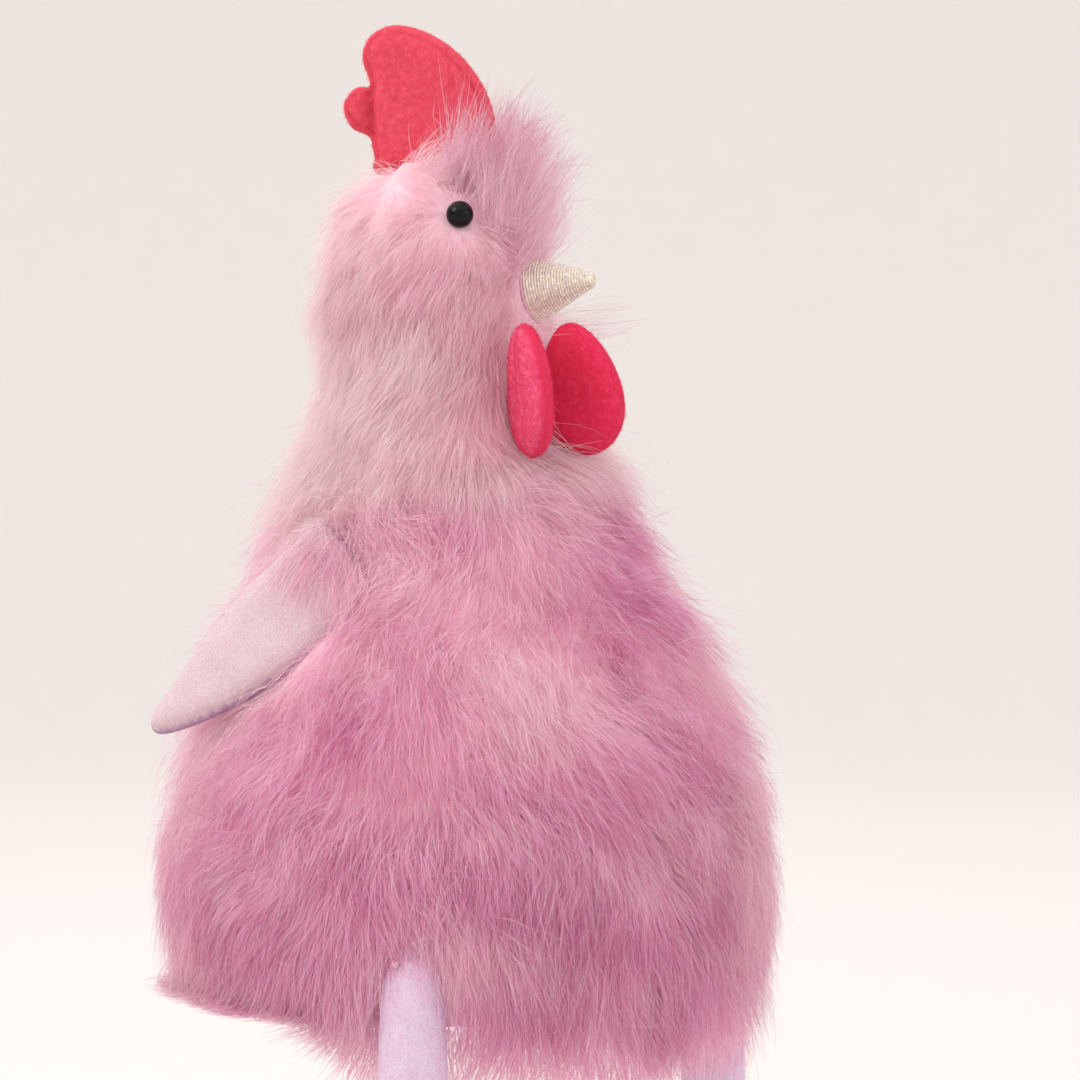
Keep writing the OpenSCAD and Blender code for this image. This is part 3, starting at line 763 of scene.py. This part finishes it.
def build_skin():
    """The cloth and its dense underfur, just above the woven back."""
    around = 160
    for name, low, high, body, nodes in (
            ("body_underfur", 2.0, NECK_H, "torso", ("body_fur_left", "body_fur_right")),
            ("head_underfur", NECK_H + 0.3, CROWN_H, "head", ("head_fur_left", "head_fur_right"))):
        h = np.linspace(low, high, 60)
        r, g = girth_at(h)
        phi = circle(around)
        g = np.clip(g, -8, 8)
        out = 5.0 * np.clip((h - low) / 6, 0.2, 1) if body == "torso" else np.interp(h, [196, 215, 270],
                [5.0, 4.2, 4.0])
        n = unit(np.stack([np.ones_like(g), -g], -1))
        rr, hh = r + n[:, 0] * out, h + n[:, 1] * out
        rr[-1] = rr[-1] if body == "torso" else 0.05
        grid = np.stack([rr[:, None] * np.cos(phi), rr[:, None] * np.sin(phi),
                         np.broadcast_to(hh[:, None], (len(h), around))], -1)
        grid = grid.reshape(-1, 3)
        grid = (grid + unit(grid) * 0.8 * tone_fine(grid)[:, None]) @ (TRUNK if body == "torso" else HEAD).T
        if body == "torso":
            grid[:, 2] = np.maximum(grid[:, 2], SEAT + 0.3)
        obj = make_mesh(name, grid, ring_faces(len(h), around), SKIN)
        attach(obj, body)
        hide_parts(*nodes)


# ---------------------------------------------------------------- stuffed pads
def nearest_edge(q, outline):
    a, b = outline, np.roll(outline, -1, axis=0)
    ab = b - a
    t = ((q[:, None] - a) * ab).sum(-1) / np.maximum((ab**2).sum(-1), 1e-9)
    near = a + ab * np.clip(t, 0, 1)[..., None]
    return np.linalg.norm(q[:, None] - near, axis=-1).min(1)


def pad(name, outline, thickness, rotation, origin, material, body, nodes, full, seam=0.5, step=1.3,
        wrinkle=0.0,
        mirrored=False, rim=2.2, shape=None, seam_at=1.2, outer=1):
    """A stuffed pad: two domed cloth faces sewn at the outline. Its rim attribute is 1 at the seam."""
    lo, hi = outline.min(0), outline.max(0)
    gx, gy = np.meshgrid(np.arange(lo[0], hi[0], step), np.arange(lo[1], hi[1], step))
    gx = gx + (np.arange(gx.shape[0]) % 2)[:, None] * step / 2
    inner = np.stack([gx.ravel(), gy.ravel()], -1)
    inner = inner[inside_outline(inner, outline)]
    inner = inner[nearest_edge(inner, outline) > 0.55 * step]
    ring = []
    for a, b in zip(outline, np.roll(outline, -1, axis=0)):
        for k in range(max(1, int(np.linalg.norm(b - a) / step + 0.5))):
            ring.append(a + (b - a) * k / max(1, int(np.linalg.norm(b - a) / step + 0.5)))
    ring = np.array(ring)
    m = len(ring)
    pts = np.concatenate([ring, inner])
    edges = [(i, (i + 1) % m) for i in range(m)]
    out = delaunay_2d_cdt([Vector(v) for v in pts], edges, [], 1, 1e-4)
    flat = np.array([tuple(v) for v in out[0]])
    tris = np.array([f for f in out[2] if len(f) == 3])
    d = nearest_edge(flat, ring)
    on_rim = d < 1e-3
    t = np.clip(d / full, 0, 1)
    z = 0.5 * thickness * np.sqrt(np.clip(1 - (1 - t) ** 2, 0, 1))
    z = z - seam * np.exp(-((d - seam_at) / 0.6) ** 2) * np.clip(z, 0, 1)
    if wrinkle:
        p3 = np.concatenate([flat, np.zeros((len(flat), 1))], -1)
        z = z + wrinkle * np.clip(t * 2, 0, 1) * waves(hash_name(name), 14)(p3)
    n = len(flat)
    back_index = np.full(n, -1)
    back_index[~on_rim] = n + np.arange((~on_rim).sum())
    back_index[on_rim] = np.where(on_rim)[0]
    front = np.column_stack([flat, np.where(on_rim, 0, z)])
    back = np.column_stack([flat, -z])[~on_rim]
    verts = np.concatenate([front, back])
    if shape:
        verts = shape(verts)
    faces = np.concatenate([tris, back_index[tris][:, ::-1]])
    world = verts @ rotation.T + origin
    if mirrored:
        world = world @ MIRROR
        faces = faces[:, ::-1]
    if np.linalg.det(rotation) < 0:
        faces = faces[:, ::-1]
    obj = make_mesh(name, world, faces, material)
    dd = np.concatenate([d, d[~on_rim]])
    add_value(obj, "rim", np.clip(1 - np.abs(dd - (seam_at if seam_at > 2 else 0)) / rim, 0, 1))
    add_value(obj, "face", np.where(verts[:, 2] * outer > 0, 1, 0))
    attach(obj, body)
    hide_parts(*nodes)
    return obj


def seam_row(name, points, body, radius=0.28, pitch=2.6, length=1.7, material=THREAD):
    """A row of stitches along a closed or open line of points in the row frame."""
    seg = np.linalg.norm(np.diff(points, axis=0), axis=-1)
    cum = np.concatenate([[0], np.cumsum(seg)])
    verts, faces = [], []
    for a in np.arange(0.5, cum[-1] - length, pitch):
        ends = [np.array([np.interp(v, cum, points[:, k]) for k in range(3)]) for v in (a, a + length)]
        axis = unit(ends[1] - ends[0])
        u = unit(np.cross(axis, [0.3, 0.5, 0.81]))
        v = np.cross(axis, u)
        base = len(verts)
        for t, w in ((0, 0.4), (0.2, 1), (0.8, 1), (1, 0.4)):
            c = ends[0] + (ends[1] - ends[0]) * t
            for k in range(6):
                g = k * math.pi / 3
                verts.append(c + radius * w * (u * math.cos(g) + v * math.sin(g)))
        for i in range(3):
            for k in range(6):
                j = (k + 1) % 6
                faces.append((base + i * 6 + k, base + i * 6 + j, base + i * 6 + 6 + j, base + i * 6 + 6 + k))
        faces.append(tuple(base + k for k in range(5, -1, -1)))
        faces.append(tuple(base + 18 + k for k in range(6)))
    obj = make_mesh(name, verts, faces, material)
    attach(obj, body)
    return obj


def fuzz(name, obj, seed, count, length, width, body, tone, spread, lean=(0, 0, 0), amount_tone=0.1,
         material=None):
    """Short loose fibres on the surface of a mesh."""
    rng = np.random.default_rng(seed)
    mesh = obj.data
    mesh.calc_loop_triangles()
    tri = np.empty(len(mesh.loop_triangles) * 3, np.int32)
    mesh.loop_triangles.foreach_get("vertices", tri)
    co = np.empty(len(mesh.vertices) * 3, np.float32)
    mesh.vertices.foreach_get("co", co)
    co = co.reshape(-1, 3).astype(float) / MM + np.array([0, 0, SEAT])
    tri = co[tri.reshape(-1, 3)]
    cross = np.cross(tri[:, 1] - tri[:, 0], tri[:, 2] - tri[:, 0])
    area = np.linalg.norm(cross, axis=-1)
    pick = rng.choice(len(tri), count, p=area / area.sum())
    a, b = rng.uniform(size=(2, count, 1))
    flip = a + b > 1
    a, b = np.where(flip, 1 - a, a), np.where(flip, 1 - b, b)
    t = tri[pick]
    p = t[:, 0] + a * (t[:, 1] - t[:, 0]) + b * (t[:, 2] - t[:, 0])
    normal = unit(cross[pick])
    comb = tangential(rng.normal(0, 1, (count, 3)) + np.array(lean), normal)
    ln = length * rng.uniform(0.5, 1.5, count)
    path = grow_paths(rng, p, normal, comb, ln, spread * np.ones(count), 0.1, 4, 0.35, 0)
    tones = np.clip(rng.normal(tone, amount_tone, count), 0, 1)
    width = width * rng.uniform(0.7, 1.3, count)
    return make_strands(name, path, normal, width, tones, np.zeros(count), body, normal, material or PILE)


def build_wings():
    for side, label in ((-1, "right"), (1, "left")):
        nodes = ["wing_%s_%s" % (label, k) for k in ("outer", "inner", "stuffing")]

        def bend(v):
            w = v.copy()
            w[:, 2] += -2.2 * np.clip(v[:, 0] / 96, 0, 1) ** 2
            return w

        obj = pad("wing_" + label + "_felt", WING_OUTLINE, 12.0, WING, WING_ROOT, FELT, "wing_" + label,
                  nodes,
                     9.0, 0.5, 1.4, 0.35, side > 0, 0.9, bend, 0.7, -1)
        root = np.array([(2, -13, 3.4), (1, 0, 4.4), (2, 13, 3.4), (0, 14.5, 0), (2, 13, -3.4),
                         (1, 0, -4.4), (2, -13, -3.4)])
        line = root @ WING.T + WING_ROOT
        stitches = seam_row("wing_" + label + "_stitches", line if side < 0 else line @ MIRROR, "torso",
                            0.25)
        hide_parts("wing_%s_thread" % label)
        fuzz("wing_" + label + "_fuzz", obj, 401 + side, 9000, 1.3, 0.07, "wing_" + label, 0.34, 0.35,
             (0, 0, -0.6), 0.2)


def build_wattles():
    for side, label in ((-1, "right"), (1, "left")):
        r, o = wattle_frame(side)
        nodes = ["wattle_%s_%s" % (label, k) for k in ("outer", "inner", "stuffing")]

        def crease(v):
            w = v.copy()
            fold = np.exp(-(((v[:, 0] - 13.5 - 0.09 * v[:, 1]) / 2.4) ** 2)) * np.clip((v[:, 1] + 26) / 14,
                    0, 1)
            w[:, 2] *= 1 - 0.34 * fold * (v[:, 2] * -side > 0)
            return w

        # The outer face, set by outer=-side, takes the velvet's lighter, pinker palette: painted sheen of the
        # nap catching the light.
        obj = pad("wattle_" + label + "_velvet", WATTLE_OUTLINE, 10.0, r, o, WATTLE_VELVET,
                  "wattle_" + label,
                     nodes, 8.0, 0.5, 1.0, 0.3, False, 1.0, crease, 0.8, -side)
        fuzz("wattle_" + label + "_nap", obj, 421 + side, 7000, 1.1, 0.10, "wattle_" + label, 0.5, 0.9,
             (0, 0, -0.5), 0.1,
             NAP_ROSE)
        top = np.array([(9.5, 1.2, 2.2), (13.5, 2.0, 2.6), (17.5, 1.0, 2.2), (17.5, 1.0, -2.2),
                        (13.5, 2.0, -2.6), (9.5, 1.2, -2.2)])
        stitches = seam_row("wattle_" + label + "_stitches", top @ r.T + o, "head", 0.22, 2.0,
                            1.4, NAP_ROSE)
        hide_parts("wattle_%s_thread" % label)


def build_comb():
    nodes = ["comb_panel_left", "comb_panel_right", "comb_stuffing"]
    r = HEAD @ turn_z(-90) @ turn_x(90)
    o = HEAD @ COMB_SEAM

    def curl(v):
        w = v.copy()
        lobe = np.clip((-23.5 - v[:, 0]) / 9, 0, 1) * np.clip((31 - v[:, 1]) / 3, 0,
                                                              1) * np.clip((v[:, 1] - 7) / 6, 0, 1)
        fold = np.exp(-(((v[:, 0] + 22.5) / 1.8) ** 2)) * np.clip((30 - v[:, 1]) / 4, 0,
                                                                  1) * np.clip((v[:, 1] - 5) / 6, 0, 1)
        w[:, 2] = v[:, 2] * (1 - 0.6 * fold) + 3.0 * np.sin(lobe * math.pi / 2)
        w[:, 2] += 1.2 * np.sin(v[:, 0] / 9.0) * np.clip((v[:, 1] - 5) / 30, 0, 1)
        return w

    obj = pad("comb_velvet", COMB_OUTLINE, 12.0, r, o, COMB_VELVET, "comb", nodes, 9.0, 0.9,
              1.1, 0.35, False,
                 0.8, curl, 2.8)
    fuzz("comb_nap", obj, 431, 13000, 1.1, 0.10, "comb", 0.5, 0.9, (0, 0, 0.4), 0.1, NAP_CORAL)
    base = np.array([(-19, 1, 4.6), (0, 1, 5), (17, 1, 4.6), (19, 1, 0), (17, 1, -4.6), (0, 1, -5),
                     (-19, 1, -4.6)])
    stitches = seam_row("comb_stitches", base @ r.T + o, "head", 0.25, material=NAP_CORAL)
    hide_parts("comb_thread")


def build_beak():
    """Metallic cord wound in rows round a cone, with small beads of the cord along each row."""
    rows, per, around = 26, 7, 300
    length = 25.2
    s = np.linspace(0, 1, rows * per + 1)
    line = np.interp(s, [0, 0.86, 0.94, 0.98, 1.0], [12.6, 3.9, 3.3, 2.2, 0.25])
    z = s * length
    row = np.abs(np.sin(math.pi * rows * s)) ** 0.75
    phi = circle(around)
    index = np.floor(rows * s)
    beads = np.round(2 * math.pi * line / 0.95)
    wave = 0.5 + 0.5 * np.cos(beads[:, None] * phi + index[:, None] * 2.4)
    bump = row[:, None] * (0.34 + 0.24 * wave) - 0.3
    rad = np.maximum(line[:, None] + bump * np.clip(line[:, None] / 4, 0, 1), 0.1)
    seam = np.exp(-((np.angle(np.exp(1j * (phi + math.pi / 2)))) / 0.07) ** 2)
    rad = rad - 0.5 * seam * np.clip(line[:, None] / 6, 0, 1)
    v = np.stack([rad * np.cos(phi), rad * np.sin(phi), np.broadcast_to(z[:, None], rad.shape)],
                 -1).reshape(-1, 3)
    faces = ring_faces(len(s), around)
    faces.append(tuple(range((len(s) - 1) * around, len(s) * around)))
    rot = HEAD @ turn_x(90 - BEAK_PITCH)
    o = HEAD @ BEAK_BASE
    mat, nodes, links, bsdf = node_material("beak_cord")
    spark = noise(nodes, links, 700, 2, 0.8)
    colour = ramp(nodes, [(0.30, srgb(186, 178, 170)), (0.44, srgb(224, 220, 214)),
                          (0.54, srgb(232, 216, 186)),
                          (0.64, srgb(252, 251, 249))], spark, links)
    links.new(colour, bsdf.inputs["Base Color"])
    bsdf.inputs["Metallic"].default_value = 0.6
    bsdf.inputs["Roughness"].default_value = 0.36
    obj = make_mesh("beak_cord", v @ rot.T + o, faces, mat)
    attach(obj, "head")
    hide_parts("beak_cover", "beak_stuffing")


def build_eyes():
    for side, label in ((-1, "right"), (1, "left")):
        out = np.array([side * math.sin(EYE_ANGLE), -math.cos(EYE_ANGLE), 0])
        centre = out * EYE_OUT + np.array([0, 0, EYE_H])
        bpy.ops.mesh.primitive_uv_sphere_add(segments=64, ring_count=40, radius=EYE_R * MM)
        ball = bpy.context.object
        ball.name = "eye_" + label + "_bead"
        ball.data.name = ball.name
        ball.data.materials.append(EYE)
        ball.data.shade_smooth()
        offset = HEAD @ centre - np.array([0, 0, SEAT])
        co = np.empty(len(ball.data.vertices) * 3, np.float32)
        ball.data.vertices.foreach_get("co", co)
        co = co.reshape(-1, 3) + offset * MM
        ball.data.vertices.foreach_set("co", co.astype(np.float32).reshape(-1))
        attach(ball, "head")
        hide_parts("eye_" + label, "eye_washer_" + label)


def build_legs():
    for side, label in ((-1, "right"), (1, "left")):
        x = side * LEG_X
        z = np.concatenate([np.linspace(HIP_Z + 7.6, HIP_Z - 38, 26),
                            np.linspace(HIP_Z - 39.5, ANKLE_Z + 13, 72),
                            ANKLE_Z + 8 + 5 * (1 - np.sin(np.linspace(0.2, math.pi / 2, 7)))])
        top = np.interp(z, [-4, 8, 18, 26, 31, 35, 38, 40.5, 42],
                        [12.4, 12.2, 11.6, 10.4, 9, 7.6, 5.2, 3.2, 1.0])
        top = np.where(z < -4, 12.4, top)
        k = z < ANKLE_Z + 13
        top[k] = 7.5 + 5 * np.cos(np.arcsin(np.clip((ANKLE_Z + 13 - z[k]) / 5, 0, 1)))
        phi = circle(72)
        grid = np.stack([top[:, None] * np.cos(phi), top[:, None] * np.sin(phi),
                         np.broadcast_to(z[:, None], (len(z), 72))], -1)
        flat = grid.reshape(-1, 3)
        lump = waves(601 + side, 26)(flat) * 0.28 + waves(607 + side, 9)(flat) * 0.10
        seam = np.exp(-((np.angle(np.exp(1j * (np.tile(phi, len(z)) - math.pi / 2)))) / 0.06) ** 2)
        scale = 1 + (lump - 0.35 - 0.55 * seam) / 12.5
        flat[:, :2] *= scale[:, None]
        flat[:, :2] += np.array([x, LEG_Y])
        faces = ring_faces(len(z), 72)
        faces = [f[::-1] for f in faces]
        faces.append(tuple(range(72)))
        faces.append(tuple(range(len(flat) - 1, len(flat) - 73, -1)))
        obj = make_mesh("leg_" + label + "_felt", flat, faces, LEG_FELT)
        add_value(obj, "rim", seam * 0.6)
        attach(obj, "leg_" + label)
        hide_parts("leg_%s_cover" % label, "leg_%s_stuffing" % label)
        fuzz("leg_" + label + "_fuzz", obj, 501 + side, 9000, 2.4, 0.10, "leg_" + label, 0.55, 0.6,
             (0, 0, -0.8), 0.2)
        r = np.eye(3)
        o = np.array([x, LEG_Y, ANKLE_Z - 3.5 - 7])
        outline = FOOT_OUTLINE * np.array([1, -1])
        foot = pad("foot_" + label + "_felt", outline[::-1].copy(), 14.0, r, o, LEG_FELT, "foot_" + label,
                      ["foot_%s_sole" % label, "foot_%s_stuffing" % label], 6.5, 0.8, 1.3, 0.2, False,
                      1.8)
        level = np.linspace(0, 1, 12)
        ankle_z = ANKLE_Z - 8 + 12.5 * level
        wide = np.interp(level, [0, 0.35, 0.7, 0.9, 1], [9.5, 7.8, 7.4, 6.0, 0.5])
        deep = np.interp(level, [0, 0.35, 0.7, 0.9, 1], [7.5, 5.4, 4.9, 3.4, 0.3])
        phi = circle(40)
        stub = np.stack([x + wide[:, None] * np.cos(phi), LEG_Y + deep[:, None] * np.sin(phi),
                         np.broadcast_to(ankle_z[:, None], (12, 40))], -1).reshape(-1, 3)
        faces = ring_faces(12, 40) + [tuple(range(39, -1, -1)), tuple(range(440, 480))]
        ankle = make_mesh("foot_" + label + "_ankle", stub, faces, LEG_FELT)
        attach(ankle, "foot_" + label)
        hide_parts("foot_%s_upper" % label)
        fuzz("foot_" + label + "_fuzz", foot, 511 + side, 3500, 1.6, 0.09, "foot_" + label, 0.5, 0.5,
             (0, 0, -0.3), 0.2)


# ---------------------------------------------------------------- stage
def direction(azimuth, elevation):
    """Unit vector towards a viewpoint, by degrees round from the hen's front and up."""
    a, e = math.radians(azimuth), math.radians(elevation)
    return Vector((math.sin(a) * math.cos(e), -math.cos(a) * math.cos(e), math.sin(e)))


def build_stage():
    mat, _, _, bsdf = node_material("pale_floor")
    bsdf.inputs["Base Color"].default_value = srgb(229, 224, 221)
    bsdf.inputs["Roughness"].default_value = 0.95
    bsdf.inputs["Specular IOR Level"].default_value = 0.1
    # A wide floor that curves up into a wall all round.
    low = float(cad_box[0][2]) / MM - 0.4 + SEAT
    bend = np.radians(np.linspace(0, 90, 25))
    r = np.concatenate([[1, 1500], 2500 + 1800 * np.sin(bend), [4300]])
    z = low + np.concatenate([[0, 0], 1800 * (1 - np.cos(bend)), [3600]])
    phi = circle(96)
    grid = np.stack([r[:, None] * np.cos(phi), r[:, None] * np.sin(phi),
                     np.broadcast_to(z[:, None], (len(r), 96))], -1)
    faces = ring_faces(len(r), 96)
    faces.append(tuple(range(95, -1, -1)))
    make_mesh("floor", grid.reshape(-1, 3), [f[::-1] for f in faces], mat)

    def lamp(name, azimuth, elevation, distance, size, power, colour):
        light = bpy.data.lights.new(name, "AREA")
        light.shape = "DISK"
        light.size = size
        light.energy = power
        light.color = colour
        obj = link(bpy.data.objects.new(name, light))
        target = Vector((0, 0, 0.15))
        obj.location = target + direction(azimuth, elevation) * distance
        obj.rotation_euler = (target - obj.location).to_track_quat("-Z", "Y").to_euler()

    lamp("key", -112, 40, 1.9, 1.1, 12, (1.0, 0.97, 0.94))
    lamp("fill", 5, 18, 2.0, 1.4, 4.5, (0.93, 0.95, 1.0))
    lamp("back", 130, 40, 2.0, 1.2, 4, (1.0, 0.97, 0.95))
    world = bpy.data.worlds.new("pale_room")
    world.use_nodes = True
    world.node_tree.nodes["Background"].inputs[0].default_value = (1.0, 0.995, 1.0, 1)
    world.node_tree.nodes["Background"].inputs[1].default_value = 1.34
    bpy.context.scene.world = world
    bpy.context.scene.view_settings.view_transform = "Standard"

    camera = bpy.data.cameras.new("camera")
    camera.lens_unit = "FOV"
    camera.angle = math.radians(CAMERA_FOV)
    cam = link(bpy.data.objects.new("camera", camera))
    target = Vector(CAMERA_AIM) * MM
    cam.location = target + direction(*CAMERA_FROM) * CAMERA_DISTANCE
    cam.rotation_euler = (target - cam.location).to_track_quat("-Z", "Y").to_euler()
    bpy.context.scene.camera = cam


build_skin()
build_pile()
build_wings()
build_wattles()
build_comb()
build_beak()
build_eyes()
build_legs()
for name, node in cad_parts.items():
    cloth = None
    if name.endswith("_upper"):
        cloth = LEG_FELT
    elif "thread" in name or "stitching" in name:
        cloth = THREAD
    elif name in ("seat_panel", "body_stuffing", "head_stuffing"):
        cloth = SKIN
    if cloth:
        node.data.materials.clear()
        node.data.materials.append(cloth)
build_stage()
